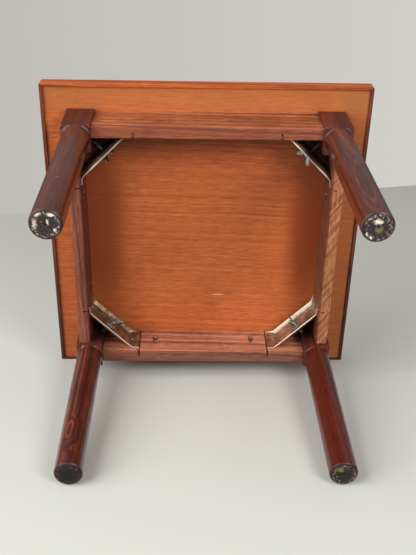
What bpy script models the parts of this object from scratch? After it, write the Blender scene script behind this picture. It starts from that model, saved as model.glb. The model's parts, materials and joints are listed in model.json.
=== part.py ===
"""Square side table with detachable turned legs, standing upright.

The origin is on the floor under the middle of the top, +Z is up and the front
is at -Y. Four rails are screwed to the underside of the top. A pressed steel
bracket spans each corner of the rails and hooks into saw kerfs. A hanger bolt
runs from the square head of each leg through the bracket, and a wing nut on
it draws the leg against the ends of the rails.
"""

import math

import bmesh
import bpy
from mathutils import Matrix, Vector

# Top: a board with a strip of solid wood round its edge
TOP_WIDTH = 0.600
TABLE_HEIGHT = 0.445
PANEL_THICKNESS = 0.019
LIPPING_WIDTH = 0.006
LIPPING_DROP = 0.004
LIPPING_CORNER_RADIUS = 0.005
LIPPING_EASE = 0.001

# Legs: a square head above a round shaft
TOP_OVERHANG = 0.047
BLOCK_WIDTH = 0.050
BLOCK_EASE = 0.0008
SHOULDER_DROP = 0.005
SHOULDER_RISE = 0.009
SHOULDER_HOLLOW_SHARE = 0.5
TURNING_DEPTH = 0.0005
SHAFT_TAPER = 0.0005
FOOT_CHAMFER = 0.003
LATHE_HOLE_DIAMETER = 0.005
LATHE_HOLE_DEPTH = 0.004

# Rails, with the kerfs that take the brackets' hooks
RAIL_THICKNESS = 0.022
RAIL_HEIGHT = 0.080
RAIL_SETBACK = 0.005
RAIL_EDGE_RADIUS = 0.0012
KERF_WIDTH = 0.0035
KERF_DEPTH = 0.0105

# Corner brackets: distances run along a rail from the rails' inner corner
SHEET_THICKNESS = 0.0015
BRACKET_DROP = 0.036
BRACKET_HEIGHT = 0.057
WEB_HEIGHT = 0.047
FLANGE_REACH = 0.007
FOLD_END_SHARE = 0.95
RIDGE_DISTANCE = 0.073
RIDGE_INNER_RADIUS = 0.0033
HOOK_DISTANCE = 0.094
HOOK_DEPTH = 0.007
HOOK_INNER_RADIUS = 0.0025

# Hanger bolts and washers
BOLT_DIAMETER = 0.006
BOLT_GRIP = 0.035
BOLT_PROJECTION = 0.016
BOLT_TAPER = 0.007
BOLT_POINT_DIAMETER = 0.002
BOLT_END_CHAMFER = 0.0007
WASHER_DIAMETER = 0.024
WASHER_THICKNESS = 0.0016

# Wing nuts: how far each one is turned from wings upright
BOSS_BASE_DIAMETER = 0.014
BOSS_TOP_DIAMETER = 0.0115
BOSS_HEIGHT = 0.0095
BOSS_COLLAR = 0.0012
WING_SPAN = 0.036
WING_HEIGHT = 0.0195
WING_THICKNESS = 0.003
WING_LOBE_RADIUS = 0.0048
WING_ROOT_HEIGHT = 0.0015
WING_ROOT_DROP = 0.0006
NUT_TURNS = {"front_right": -52, "back_right": -5, "back_left": 103, "front_left": 23}

# Screws that hold the brackets' tabs to the rails
TAB_SCREW_DISTANCE = 0.080
TAB_SCREW_DIAMETER = 0.0035
TAB_SCREW_LENGTH = 0.016
TAB_HEAD_DIAMETER = 0.007
TAB_HEAD_HEIGHT = 0.0024

# Screws that hold the top, in slanted pockets in the rails
TOP_SCREW_DISTANCE = 0.127
TOP_SCREW_DIAMETER = 0.004
TOP_HEAD_DIAMETER = 0.008
TOP_HEAD_HEIGHT = 0.003
TOP_SCREW_COVER = 0.0065
POCKET_DIAMETER = 0.010
POCKET_SEAT_DEPTH = 0.004
POCKET_SEAT_DROP = 0.021
POCKET_SLANT = math.radians(18)
SCREW_TIP_SHARE = 1.6
SCREW_POINT_SHARE = 0.2

# Clearances: between touching pieces, round a bolt, and past a cut
GAP = 0.0003
BORE_CLEARANCE = 0.00035
SHEET_HOLE_CLEARANCE = 0.0005
CUT_OVERRUN = 0.002
MERGE_DISTANCE = 0.0000001

# Facets
SHAFT_SEGMENTS = 32
WASHER_SEGMENTS = 24
BORE_SEGMENTS = 16
SCREW_SEGMENTS = 12
SHOULDER_STEPS = 3
LIPPING_CORNER_STEPS = 3
BEND_STEPS = 4
RIDGE_STEPS = 3
EASE_STEPS = 2
LOBE_STEPS = 8
DOME_STEPS = 3
SMOOTH_ANGLE = math.radians(40)

# Places worked out from the sizes above
UNDERSIDE = TABLE_HEIGHT - PANEL_THICKNESS
BLOCK_OUTER = TOP_WIDTH / 2 - TOP_OVERHANG
BLOCK_INNER = BLOCK_OUTER - BLOCK_WIDTH
RAIL_INNER = BLOCK_OUTER - RAIL_SETBACK - RAIL_THICKNESS
BOLT_HEIGHT = UNDERSIDE - BRACKET_DROP
SHOULDER_HEIGHT = UNDERSIDE - RAIL_HEIGHT - SHOULDER_DROP
DIAGONAL = math.sqrt(2)
TAB_LIFT = GAP + SHEET_THICKNESS / 2
WEB_PLACE = (RIDGE_DISTANCE + TAB_LIFT) / DIAGONAL
BLOCK_CORNER_PLACE = (RAIL_INNER - BLOCK_INNER) * DIAGONAL
WASHER_SEAT = WEB_PLACE + SHEET_THICKNESS / 2 + GAP
NUT_SEAT = WASHER_SEAT + WASHER_THICKNESS + GAP
BORE_RADIUS = BOLT_DIAMETER / 2 + BORE_CLEARANCE
POCKET_PLACE = RAIL_INNER + POCKET_SEAT_DEPTH
TOP_SCREW_RISE = POCKET_SEAT_DROP + PANEL_THICKNESS - TOP_SCREW_COVER
TOP_SCREW_LENGTH = TOP_SCREW_RISE / math.cos(POCKET_SLANT)

# Sides in turn from the front, and the corner after each
SIDES = ("front", "right", "back", "left")
CORNERS = ("front_right", "back_right", "back_left", "front_left")
QUARTER = math.pi / 2
HALF_QUARTER = math.pi / 4

# A prism drawn in Y and Z and drawn out along X, or drawn in X and Z along Y
ALONG_X = Matrix(((0, 0, 1), (1, 0, 0), (0, 1, 0))).to_4x4()
ALONG_Y = Matrix(((1, 0, 0), (0, 0, -1), (0, 1, 0))).to_4x4()

# Finishes: sRGB colour, roughness, metallic
FINISHES = {
    "veneer": ("AB5934", 0.5, 0.0),
    "lipping_wood": ("8F5033", 0.45, 0.0),
    "rail_wood": ("A4613F", 0.5, 0.0),
    "leg_wood": ("5E362A", 0.4, 0.0),
    "bracket_steel": ("8C8177", 0.45, 0.9),
    "bolt_steel": ("8E8C88", 0.4, 0.9),
    "washer_zinc": ("A3A29E", 0.45, 0.9),
    "nut_zinc": ("B0AFAA", 0.4, 0.9),
    "screw_steel": ("C4C0B8", 0.3, 0.95),
}


def clear_scene():
    for item in list(bpy.data.objects):
        bpy.data.objects.remove(item, do_unlink=True)


def linear(channel):
    """Linear light of one two-digit sRGB channel."""
    value = int(channel, 16) / 255
    return value / 12.92 if value <= 0.04045 else ((value + 0.055) / 1.055) ** 2.4


def make_material(name):
    colour, roughness, metallic = FINISHES[name]
    made = bpy.data.materials.new(name)
    made.use_nodes = True
    shader = made.node_tree.nodes["Principled BSDF"]
    rgb = [linear(colour[place : place + 2]) for place in (0, 2, 4)]
    shader.inputs["Base Color"].default_value = (*rgb, 1.0)
    shader.inputs["Roughness"].default_value = roughness
    shader.inputs["Metallic"].default_value = metallic
    return made


def arc(centre, radius, start, sweep, steps):
    """Points of an arc, both ends included."""
    angles = [start + sweep * step / steps for step in range(steps + 1)]
    return [centre + radius * Vector((math.cos(a), math.sin(a))) for a in angles]


def fillet(before, corner, after, radius, steps):
    """Points of the arc that rounds one corner of an outline."""
    back = (before - corner).normalized()
    ahead = (after - corner).normalized()
    half = back.angle(ahead) / 2
    centre = corner + (back + ahead).normalized() * radius / math.sin(half)
    first = corner + back * radius / math.tan(half) - centre
    last = corner + ahead * radius / math.tan(half) - centre
    start = math.atan2(first.y, first.x)
    sweep = math.remainder(math.atan2(last.y, last.x) - start, math.tau)
    return arc(centre, radius, start, sweep, steps)


def to_mesh(bm, name):
    bmesh.ops.recalc_face_normals(bm, faces=bm.faces)
    mesh = bpy.data.meshes.new(name)
    bm.to_mesh(mesh)
    bm.free()
    return mesh


def prism_bmesh(outline, low, high):
    """A flat outline drawn out along Z."""
    bm = bmesh.new()
    floor = bm.faces.new([bm.verts.new((x, y, low)) for x, y in outline])
    drawn = bmesh.ops.extrude_face_region(bm, geom=[floor])["geom"]
    lifted = [item for item in drawn if isinstance(item, bmesh.types.BMVert)]
    bmesh.ops.translate(bm, verts=lifted, vec=(0, 0, high - low))
    return bm


def prism(name, outline, low, high, place=Matrix()):
    mesh = to_mesh(prism_bmesh(outline, low, high), name)
    mesh.transform(place)
    return mesh


def box(name, low, high):
    """A block between two opposite corners."""
    outline = ((low.x, low.y), (high.x, low.y), (high.x, high.y), (low.x, high.y))
    return prism(name, outline, low.z, high.z)


def turned(name, profile, segments, closed=False):
    """A profile of radius and height pairs, spun round Z."""
    bm = bmesh.new()
    ring = [bm.verts.new((radius, 0, height)) for radius, height in profile]
    edges = [bm.edges.new(pair) for pair in zip(ring, ring[1:])]
    if closed:
        edges.append(bm.edges.new((ring[-1], ring[0])))
    bmesh.ops.spin(
        bm, geom=ring + edges, axis=(0, 0, 1), angle=math.tau, steps=segments, use_merge=True
    )
    bmesh.ops.remove_doubles(bm, verts=bm.verts, dist=MERGE_DISTANCE)
    return to_mesh(bm, name)


def rod(name, radius, start, end, segments):
    """A cylinder from one point to another."""
    run = end - start
    facing = run.to_track_quat("Z", "Y").to_matrix().to_4x4()
    profile = ((0, 0), (radius, 0), (radius, run.length), (0, run.length))
    mesh = turned(name, profile, segments)
    mesh.transform(Matrix.Translation(start) @ facing)
    return mesh


def modified(mesh, steps):
    """The mesh as a list of modifiers, each a kind and its settings, leaves it."""
    body = bpy.data.objects.new(mesh.name, mesh)
    bpy.context.collection.objects.link(body)
    for kind, settings in steps:
        modifier = body.modifiers.new(kind, kind)
        for key, value in settings.items():
            setattr(modifier, key, value)
    graph = bpy.context.evaluated_depsgraph_get()
    result = bpy.data.meshes.new_from_object(body.evaluated_get(graph), depsgraph=graph)
    bpy.data.objects.remove(body)
    return result


def combined(mesh, others, operation):
    """The mesh after one exact Boolean with each of the others in turn."""
    tools = [bpy.data.objects.new(other.name, other) for other in others]
    for tool in tools:
        bpy.context.collection.objects.link(tool)
    steps = [
        ("BOOLEAN", {"operation": operation, "solver": "EXACT", "object": tool})
        for tool in tools
    ]
    result = modified(mesh, steps)
    for tool in tools:
        bpy.data.objects.remove(tool)
    return result


def add_piece(name, mesh, parent, place=(0, 0, 0), turn=(0, 0, 0)):
    """One named object on its parent's frame."""
    piece = bpy.data.objects.new(name, mesh)
    bpy.context.collection.objects.link(piece)
    piece.parent = parent
    piece.location = place
    piece.rotation_euler = turn
    return piece


def add_frame(name, parent, place, turn):
    """An empty that carries the pieces of one side, corner or bolt."""
    return add_piece(name, None, parent, place, turn)


def dress(mesh, material):
    """Give a mesh its material, and smooth shading between its sharp edges."""
    mesh.materials.clear()
    mesh.materials.append(material)
    mesh.shade_smooth()
    mesh.set_sharp_from_angle(angle=SMOOTH_ANGLE)
    return mesh


def end_places(distance):
    """Places along a rail, each this far from the rails' inner corner."""
    return (distance - RAIL_INNER, RAIL_INNER - distance)


def screw_mesh(name, diameter, length, head_diameter, head_height):
    """A round-headed screw: head below the origin, shank up +Z."""
    tip = diameter * SCREW_TIP_SHARE
    point = diameter * SCREW_POINT_SHARE
    profile = [(0, -head_height)]
    for step in range(DOME_STEPS - 1, -1, -1):
        angle = QUARTER * step / DOME_STEPS
        profile.append((head_diameter / 2 * math.cos(angle), -head_height * math.sin(angle)))
    profile += [(diameter / 2, 0), (diameter / 2, length - tip), (point, length), (0, length)]
    return turned(name, profile, SCREW_SEGMENTS)


def screw_way():
    """Cutter for a top screw: a wide pocket below the head's seat, a hole above it."""
    pocket = POCKET_DIAMETER / 2
    hole = TOP_SCREW_DIAMETER / 2 + GAP
    exit_run = (POCKET_SEAT_DEPTH + pocket * math.cos(POCKET_SLANT)) / math.sin(POCKET_SLANT)
    low = -exit_run - CUT_OVERRUN
    high = TOP_SCREW_LENGTH + GAP
    profile = ((0, low), (pocket, low), (pocket, GAP), (hole, GAP), (hole, high), (0, high))
    return turned("screw_way", profile, BORE_SEGMENTS)


def screw_ways(along, across):
    """A top screw's cutter at each place along a rail, this far across it."""
    ways = []
    for place in along:
        way = screw_way()
        seat = Matrix.Translation((place, across, -POCKET_SEAT_DROP))
        way.transform(seat @ Matrix.Rotation(POCKET_SLANT, 4, "X"))
        ways.append(way)
    return ways


def panel_mesh():
    """The board, with blind holes for the top screws; its underside is at zero."""
    half = TOP_WIDTH / 2 - LIPPING_WIDTH - GAP
    board = box("panel", Vector((-half, -half, 0)), Vector((half, half, PANEL_THICKNESS)))
    holes = []
    for side in range(len(SIDES)):
        for way in screw_ways(end_places(TOP_SCREW_DISTANCE), -POCKET_PLACE):
            way.transform(Matrix.Rotation(side * QUARTER, 4, "Z"))
            holes.append(way)
    return combined(board, holes, "DIFFERENCE")


def lipping_mesh():
    """The front edge strip, mitred at both ends where the corners are rounded."""
    inner = TOP_WIDTH / 2 - LIPPING_WIDTH
    mitre = GAP / DIAGONAL
    bend = TOP_WIDTH / 2 - LIPPING_CORNER_RADIUS
    right = arc(
        Vector((bend - mitre, -bend)), LIPPING_CORNER_RADIUS,
        -QUARTER, HALF_QUARTER, LIPPING_CORNER_STEPS,
    )
    right.append(Vector((inner - mitre, -inner)))
    outline = right + [Vector((-point.x, point.y)) for point in right[::-1]]
    bm = prism_bmesh(outline, -LIPPING_DROP, PANEL_THICKNESS)
    middle = -(TOP_WIDTH - LIPPING_WIDTH) / 2
    outer = [
        edge for edge in bm.edges
        if all(vert.co.y < middle for vert in edge.verts)
        and edge.verts[0].co.z == edge.verts[1].co.z
    ]
    bmesh.ops.bevel(
        bm, geom=outer, offset=LIPPING_EASE, segments=EASE_STEPS,
        profile=0.5, affect="EDGES", clamp_overlap=True,
    )
    return to_mesh(bm, "lipping")


def rail_blank():
    """A rail's section, eased along both lower edges, drawn out along X."""
    half = BLOCK_INNER - GAP
    top_inner = Vector((0, -GAP))
    top_outer = Vector((-RAIL_THICKNESS, -GAP))
    low_outer = Vector((-RAIL_THICKNESS, -RAIL_HEIGHT))
    low_inner = Vector((0, -RAIL_HEIGHT))
    outline = [top_inner, top_outer]
    outline += fillet(top_outer, low_outer, low_inner, RAIL_EDGE_RADIUS, EASE_STEPS)
    outline += fillet(low_outer, low_inner, top_inner, RAIL_EDGE_RADIUS, EASE_STEPS)
    return prism("rail", outline, -half, half, ALONG_X)


def kerf_cutters():
    """Saw cuts up the whole inner face, eased at the mouth where a hook bends in."""
    wall = RAIL_INNER - HOOK_DISTANCE
    ease = HOOK_INNER_RADIUS + CUT_OVERRUN
    outline = [
        (wall - KERF_WIDTH, -KERF_DEPTH),
        (wall, -KERF_DEPTH),
        (wall, -HOOK_INNER_RADIUS),
        (wall + ease, CUT_OVERRUN),
        (wall - KERF_WIDTH, CUT_OVERRUN),
    ]
    mirrored = [(-x, y) for x, y in outline[::-1]]
    low = -RAIL_HEIGHT - CUT_OVERRUN
    return [prism("kerf", points, low, CUT_OVERRUN) for points in (outline, mirrored)]


def tab_screw_holes():
    """Blind holes in a rail for the screws through the brackets' tabs."""
    radius = TAB_SCREW_DIAMETER / 2 + GAP
    bottom = tab_screw_lift() - TAB_SCREW_LENGTH - GAP
    return [
        rod(
            "tab_hole", radius, Vector((place, bottom, -BRACKET_DROP)),
            Vector((place, CUT_OVERRUN, -BRACKET_DROP)), SCREW_SEGMENTS,
        )
        for place in end_places(TAB_SCREW_DISTANCE)
    ]


def tab_screw_lift():
    """How far the tab screws' heads seat off the rail's inner face."""
    return GAP + SHEET_THICKNESS + GAP


def rail_mesh():
    """A rail; its inner face is at Y zero and the top's underside at Z zero."""
    cutters = kerf_cutters() + tab_screw_holes()
    cutters += screw_ways(end_places(TOP_SCREW_DISTANCE), -POCKET_SEAT_DEPTH)
    return combined(rail_blank(), cutters, "DIFFERENCE")


def shoulder_curve(low, high):
    """A hollow, then a round, that climb outwards from one point to another."""
    size = high - low
    hollow = SHOULDER_HOLLOW_SHARE
    curve = arc(Vector((hollow, 0)), hollow, math.pi, -QUARTER, SHOULDER_STEPS)
    curve += arc(Vector((hollow, 1)), 1 - hollow, -QUARTER, QUARTER, SHOULDER_STEPS)[1:]
    return [(low.x + size.x * share.x, low.y + size.y * share.y) for share in curve]


def leg_profile():
    """Foot, shaft and the shoulder that runs out at the block's corners."""
    shaft = BLOCK_WIDTH / 2 - TURNING_DEPTH
    foot = shaft - SHAFT_TAPER
    corner = BLOCK_WIDTH / DIAGONAL
    profile = [
        (0, LATHE_HOLE_DEPTH),
        (LATHE_HOLE_DIAMETER / 2, 0),
        (foot - FOOT_CHAMFER, 0),
        (foot, FOOT_CHAMFER),
    ]
    profile += shoulder_curve(
        Vector((shaft, SHOULDER_HEIGHT - SHOULDER_RISE)), Vector((corner, SHOULDER_HEIGHT))
    )
    profile += [
        (corner + CUT_OVERRUN, SHOULDER_HEIGHT),
        (corner + CUT_OVERRUN, UNDERSIDE + CUT_OVERRUN),
        (0, UNDERSIDE + CUT_OVERRUN),
    ]
    return profile


def leg_mesh():
    """A square blank turned round below the shoulder, drilled for its bolt."""
    half = BLOCK_WIDTH / 2
    corners = [Vector((x * half, y * half)) for x, y in ((-1, -1), (1, -1), (1, 1), (-1, 1))]
    outline = []
    for place, corner in enumerate(corners):
        after = corners[(place + 1) % len(corners)]
        outline += fillet(corners[place - 1], corner, after, BLOCK_EASE, EASE_STEPS)
    blank = prism("leg", outline, -CUT_OVERRUN, UNDERSIDE - GAP)
    lathe = turned("lathe", leg_profile(), SHAFT_SEGMENTS)
    outward = Vector((1, 1, 0)).normalized()
    bottom = outward * (half * DIAGONAL - BOLT_GRIP - GAP)
    mouth = outward * (half * DIAGONAL + CUT_OVERRUN)
    rise = Vector((0, 0, BOLT_HEIGHT))
    hole = rod("bolt_hole", BOLT_DIAMETER / 2 + GAP, bottom + rise, mouth + rise, BORE_SEGMENTS)
    return combined(combined(blank, [lathe], "INTERSECT"), [hole], "DIFFERENCE")


def bracket_path():
    """Half of the bent sheet in plan, from the ridge to the hook's tip.

    X runs from the rails' inner corner to the table's centre. The run follows
    the middle of the sheet, along the rail that goes off towards +Y.
    """
    along = Vector((1, 1)).normalized()
    off = Vector((1, -1)).normalized()
    hook = HOOK_DISTANCE + GAP + SHEET_THICKNESS / 2
    middle = Vector((WEB_PLACE, 0))
    ridge = along * RIDGE_DISTANCE + off * TAB_LIFT
    heel = along * hook + off * TAB_LIFT
    tip = along * hook - off * HOOK_DEPTH
    bend = RIDGE_INNER_RADIUS + SHEET_THICKNESS / 2
    run = fillet(middle, ridge, heel, bend, RIDGE_STEPS)
    run.append(ridge + along * FLANGE_REACH * DIAGONAL)
    bend = HOOK_INNER_RADIUS + SHEET_THICKNESS / 2
    run += fillet(ridge, heel, tip, bend, BEND_STEPS)
    run.append(tip)
    return run


def bracket_stations():
    """Plan points from hook to hook, each with its share of the way up the tab.

    The share is zero on the web, and one from the bend of the hook on.
    """
    run = bracket_path()
    reach = max(point.x for point in run) - WEB_PLACE
    stations = []
    share = 0
    for point in run:
        share = max(share, (point.x - WEB_PLACE) / reach)
        stations.append((point, share))
    mirrored = [(Vector((point.x, -point.y)), share) for point, share in stations]
    return mirrored[::-1] + stations


def bracket_section(point, share):
    """Four points up the sheet: edge, fold, fold, edge.

    Both folds run out at the tab's corners. The lower edge is straight until it
    meets the tab, and the upper one turns at the ridge.
    """
    edge = BRACKET_HEIGHT / 2
    fold = WEB_HEIGHT / 2
    fold += (edge * FOLD_END_SHARE - fold) * share
    lower = max(point.x, WEB_PLACE + FLANGE_REACH)
    upper = point.x + FLANGE_REACH * (1 - share)
    return [
        (lower, point.y, -edge),
        (point.x, point.y, -fold),
        (point.x, point.y, fold),
        (upper, point.y, edge),
    ]


def bracket_sheet():
    """The middle surface of the bracket as strips between its sections."""
    bm = bmesh.new()
    rows = []
    for point, share in bracket_stations():
        rows.append([bm.verts.new(co) for co in bracket_section(point, share)])
    for row, following in zip(rows, rows[1:]):
        for low, high in zip(range(len(row) - 1), range(1, len(row))):
            bm.faces.new((row[low], following[low], following[high], row[high]))
    return to_mesh(bm, "bracket")


def bracket_holes():
    """A hole for the bolt in the web and one for a screw in each tab."""
    reach = Vector((SHEET_THICKNESS + CUT_OVERRUN, 0, 0))
    web = Vector((WEB_PLACE, 0, 0))
    radius = BOLT_DIAMETER / 2 + SHEET_HOLE_CLEARANCE
    holes = [rod("bolt_clearance", radius, web - reach, web + reach, BORE_SEGMENTS)]
    radius = TAB_SCREW_DIAMETER / 2 + SHEET_HOLE_CLEARANCE
    for hand in (-1, 1):
        along = Vector((1, hand, 0)).normalized()
        off = Vector((1, -hand, 0)).normalized()
        place = along * TAB_SCREW_DISTANCE + off * TAB_LIFT
        reach = off * (SHEET_THICKNESS + CUT_OVERRUN)
        holes.append(rod("tab_clearance", radius, place - reach, place + reach, BORE_SEGMENTS))
    return holes


def bracket_mesh():
    """The sheet at its thickness, with its holes."""
    thicken = {"thickness": SHEET_THICKNESS, "offset": 0, "use_even_offset": True}
    solid = modified(bracket_sheet(), [("SOLIDIFY", thicken)])
    return combined(solid, bracket_holes(), "DIFFERENCE")


def bolt_mesh():
    """A hanger bolt: wood-screw point in the leg, machine end towards the nut."""
    radius = BOLT_DIAMETER / 2
    start = BLOCK_CORNER_PLACE - BOLT_GRIP
    end = WEB_PLACE + SHEET_THICKNESS / 2 + BOLT_PROJECTION
    profile = (
        (0, start),
        (BOLT_POINT_DIAMETER / 2, start),
        (radius, start + BOLT_TAPER),
        (radius, end - BOLT_END_CHAMFER),
        (radius - BOLT_END_CHAMFER, end),
        (0, end),
    )
    return turned("hanger_bolt", profile, BORE_SEGMENTS)


def washer_mesh():
    outer = WASHER_DIAMETER / 2
    profile = (
        (BORE_RADIUS, 0),
        (outer, 0),
        (outer, WASHER_THICKNESS),
        (BORE_RADIUS, WASHER_THICKNESS),
    )
    return turned("washer", profile, WASHER_SEGMENTS, closed=True)


def wing_outline():
    """One wing in radius and height: straight from the boss to a round lobe."""
    root = (BORE_RADIUS + BOSS_TOP_DIAMETER / 2) / 2
    low = Vector((root, WING_ROOT_HEIGHT))
    high = Vector((root, BOSS_HEIGHT - WING_ROOT_DROP))
    lobe = Vector((WING_SPAN / 2 - WING_LOBE_RADIUS, WING_HEIGHT - WING_LOBE_RADIUS))
    touches = []
    for point, hand in ((low, 1), (high, -1)):
        back = point - lobe
        spread = math.acos(WING_LOBE_RADIUS / back.length)
        touches.append(math.atan2(back.y, back.x) + hand * spread)
    sweep = (touches[1] - touches[0]) % math.tau
    return [low, *arc(lobe, WING_LOBE_RADIUS, touches[0], sweep, LOBE_STEPS), high]


def nut_mesh():
    """A wing nut: tapered boss, two wings, and a bore through the boss."""
    base = BOSS_BASE_DIAMETER / 2
    top = BOSS_TOP_DIAMETER / 2
    profile = ((0, 0), (base, 0), (base, BOSS_COLLAR), (top, BOSS_HEIGHT), (0, BOSS_HEIGHT))
    boss = turned("wing_nut", profile, BORE_SEGMENTS)
    half = WING_THICKNESS / 2
    wings = []
    for turn in (0, math.pi):
        wing = prism("wing", wing_outline(), -half, half, ALONG_Y)
        wing.transform(Matrix.Rotation(turn, 4, "Z"))
        wings.append(wing)
    bore = rod(
        "bore", BORE_RADIUS, Vector((0, 0, -CUT_OVERRUN)),
        Vector((0, 0, WING_HEIGHT)), BORE_SEGMENTS,
    )
    return combined(combined(boss, wings, "UNION"), [bore], "DIFFERENCE")


def build_meshes():
    """One finished mesh for each kind of piece."""
    kinds = {
        "top_panel": (panel_mesh(), "veneer"),
        "lipping": (lipping_mesh(), "lipping_wood"),
        "rail": (rail_mesh(), "rail_wood"),
        "leg": (leg_mesh(), "leg_wood"),
        "bracket": (bracket_mesh(), "bracket_steel"),
        "hanger_bolt": (bolt_mesh(), "bolt_steel"),
        "washer": (washer_mesh(), "washer_zinc"),
        "wing_nut": (nut_mesh(), "nut_zinc"),
        "tab_screw": (
            screw_mesh(
                "tab_screw", TAB_SCREW_DIAMETER, TAB_SCREW_LENGTH,
                TAB_HEAD_DIAMETER, TAB_HEAD_HEIGHT,
            ),
            "screw_steel",
        ),
        "top_screw": (
            screw_mesh(
                "top_screw", TOP_SCREW_DIAMETER, TOP_SCREW_LENGTH,
                TOP_HEAD_DIAMETER, TOP_HEAD_HEIGHT,
            ),
            "screw_steel",
        ),
    }
    materials = {name: make_material(name) for name in FINISHES}
    return {kind: dress(mesh, materials[finish]) for kind, (mesh, finish) in kinds.items()}


def build_side(place, meshes, top):
    """A rail, its lipping and its screws, in a frame turned to that side."""
    side = SIDES[place]
    frame = add_frame("side_" + side, top, (0, 0, 0), (0, 0, place * QUARTER))
    add_piece("lipping_" + side, meshes["lipping"], frame)
    add_piece("rail_" + side, meshes["rail"], frame, (0, -RAIL_INNER, 0))
    ends = (SIDES[place - 1], SIDES[(place + 1) % len(SIDES)])
    lift = tab_screw_lift() - RAIL_INNER
    for end, along in zip(ends, end_places(TAB_SCREW_DISTANCE)):
        add_piece(
            f"tab_screw_{side}_{end}", meshes["tab_screw"], frame,
            (along, lift, -BRACKET_DROP), (QUARTER, 0, 0),
        )
    for end, along in zip(ends, end_places(TOP_SCREW_DISTANCE)):
        add_piece(
            f"top_screw_{side}_{end}", meshes["top_screw"], frame,
            (along, -POCKET_PLACE, -POCKET_SEAT_DROP), (POCKET_SLANT, 0, 0),
        )


def build_corner(place, meshes):
    """A leg and its fixings, in a frame at the rails' inner corner.

    The frame's +X is the bolt's line and runs to the table's centre.
    """
    corner = CORNERS[place]
    heading = place * QUARTER + QUARTER + HALF_QUARTER
    spot = Matrix.Rotation(heading, 3, "Z") @ Vector((-RAIL_INNER * DIAGONAL, 0, BOLT_HEIGHT))
    frame = add_frame("corner_" + corner, None, spot, (0, 0, heading))
    inset = (RAIL_INNER - BLOCK_OUTER + BLOCK_WIDTH / 2) * DIAGONAL
    add_piece(
        "leg_" + corner, meshes["leg"], frame,
        (inset, 0, -BOLT_HEIGHT), (0, 0, -HALF_QUARTER),
    )
    add_piece("bracket_" + corner, meshes["bracket"], frame)
    line = add_frame("bolt_line_" + corner, frame, (0, 0, 0), (0, QUARTER, 0))
    add_piece("hanger_bolt_" + corner, meshes["hanger_bolt"], line)
    add_piece("washer_" + corner, meshes["washer"], line, (0, 0, WASHER_SEAT))
    turn = math.radians(NUT_TURNS[corner])
    add_piece("wing_nut_" + corner, meshes["wing_nut"], line, (0, 0, NUT_SEAT), (0, 0, turn))


def build_table():
    clear_scene()
    meshes = build_meshes()
    top = add_frame("top_frame", None, (0, 0, UNDERSIDE), (0, 0, 0))
    add_piece("top_panel", meshes["top_panel"], top)
    for place in range(len(SIDES)):
        build_side(place, meshes, top)
        build_corner(place, meshes)


build_table()
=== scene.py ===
"""Looks of the side table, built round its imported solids.

The table stands upright at the origin. In the photograph it lies on its back
edge, so the camera looks up at the underside and the studio floor touches the
back of the top and the back feet. The top, edge strips and rails keep their
solids. Legs, brackets, bolts, washers, wing nuts and screws are finer surfaces.
"""

import json
import math

import bmesh
import bpy
import numpy as np
from mathutils import Matrix, Vector

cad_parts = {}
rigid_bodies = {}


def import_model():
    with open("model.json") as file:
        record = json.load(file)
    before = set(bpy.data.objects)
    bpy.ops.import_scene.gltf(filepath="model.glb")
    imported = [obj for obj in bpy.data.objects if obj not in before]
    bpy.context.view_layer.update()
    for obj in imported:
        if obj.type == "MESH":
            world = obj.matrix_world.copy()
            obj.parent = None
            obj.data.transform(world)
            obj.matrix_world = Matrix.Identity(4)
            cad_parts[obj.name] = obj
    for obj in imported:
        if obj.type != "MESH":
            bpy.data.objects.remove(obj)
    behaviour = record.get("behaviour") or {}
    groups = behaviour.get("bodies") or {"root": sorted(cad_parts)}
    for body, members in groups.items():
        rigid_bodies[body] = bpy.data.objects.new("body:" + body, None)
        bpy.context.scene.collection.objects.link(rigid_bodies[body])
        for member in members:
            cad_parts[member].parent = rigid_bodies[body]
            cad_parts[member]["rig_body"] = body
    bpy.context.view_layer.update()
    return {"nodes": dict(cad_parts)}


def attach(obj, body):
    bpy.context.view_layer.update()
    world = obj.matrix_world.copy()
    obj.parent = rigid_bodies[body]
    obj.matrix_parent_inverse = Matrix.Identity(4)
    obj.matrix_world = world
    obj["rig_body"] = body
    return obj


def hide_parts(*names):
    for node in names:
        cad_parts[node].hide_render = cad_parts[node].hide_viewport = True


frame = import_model()

# Sizes of the solids, in metres, as the part's source has them
UNDERSIDE = 0.426
PANEL = 0.019
RAIL_INNER = 0.226
RAIL_HEIGHT = 0.080
RAIL_BOTTOM = UNDERSIDE - RAIL_HEIGHT
GAP = 0.0003
# Legs: a square head, a shaft turned just below its size, and a slight taper
BLOCK_OUTER = 0.253
BLOCK_HALF = 0.025
BLOCK_MIDDLE = BLOCK_OUTER - BLOCK_HALF
BLOCK_EASE = 0.0009
SHAFT = BLOCK_HALF - 0.0005
FOOT = BLOCK_HALF - 0.001
SHOULDER_TOP = RAIL_BOTTOM - 0.005
SHOULDER_LOW = RAIL_BOTTOM - 0.014
# Brackets: a web across the corner, then along each rail a tab and a hook
SHEET = 0.0015
RIDGE = 0.073
HOOK = 0.094
HOOK_DEPTH = 0.007
RIDGE_BEND = 0.0033 + SHEET / 2
HOOK_BEND = 0.0025 + SHEET / 2
TAB_LIFT = GAP + SHEET / 2
WEB = (RIDGE + TAB_LIFT) / math.sqrt(2)
WEB_HALF = 0.0235
BRACKET_HALF = 0.0285
FLANGE_REACH = 0.007
BOLT_HOLE, TAB_HOLE = 0.0035, 0.00225
# Bolts, washers and wing nuts
BOLT_HEIGHT = UNDERSIDE - 0.036
BOLT_GRIP = 0.035
BOLT_PROJECTION = 0.016
PITCH = 0.001
BORE = 0.00335
WASHER_RADIUS = 0.012
WASHER_THICKNESS = 0.0016
WASHER_SEAT = WEB + SHEET / 2 + GAP
NUT_SEAT = WASHER_SEAT + WASHER_THICKNESS + GAP
LOBE = 0.0048
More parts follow.
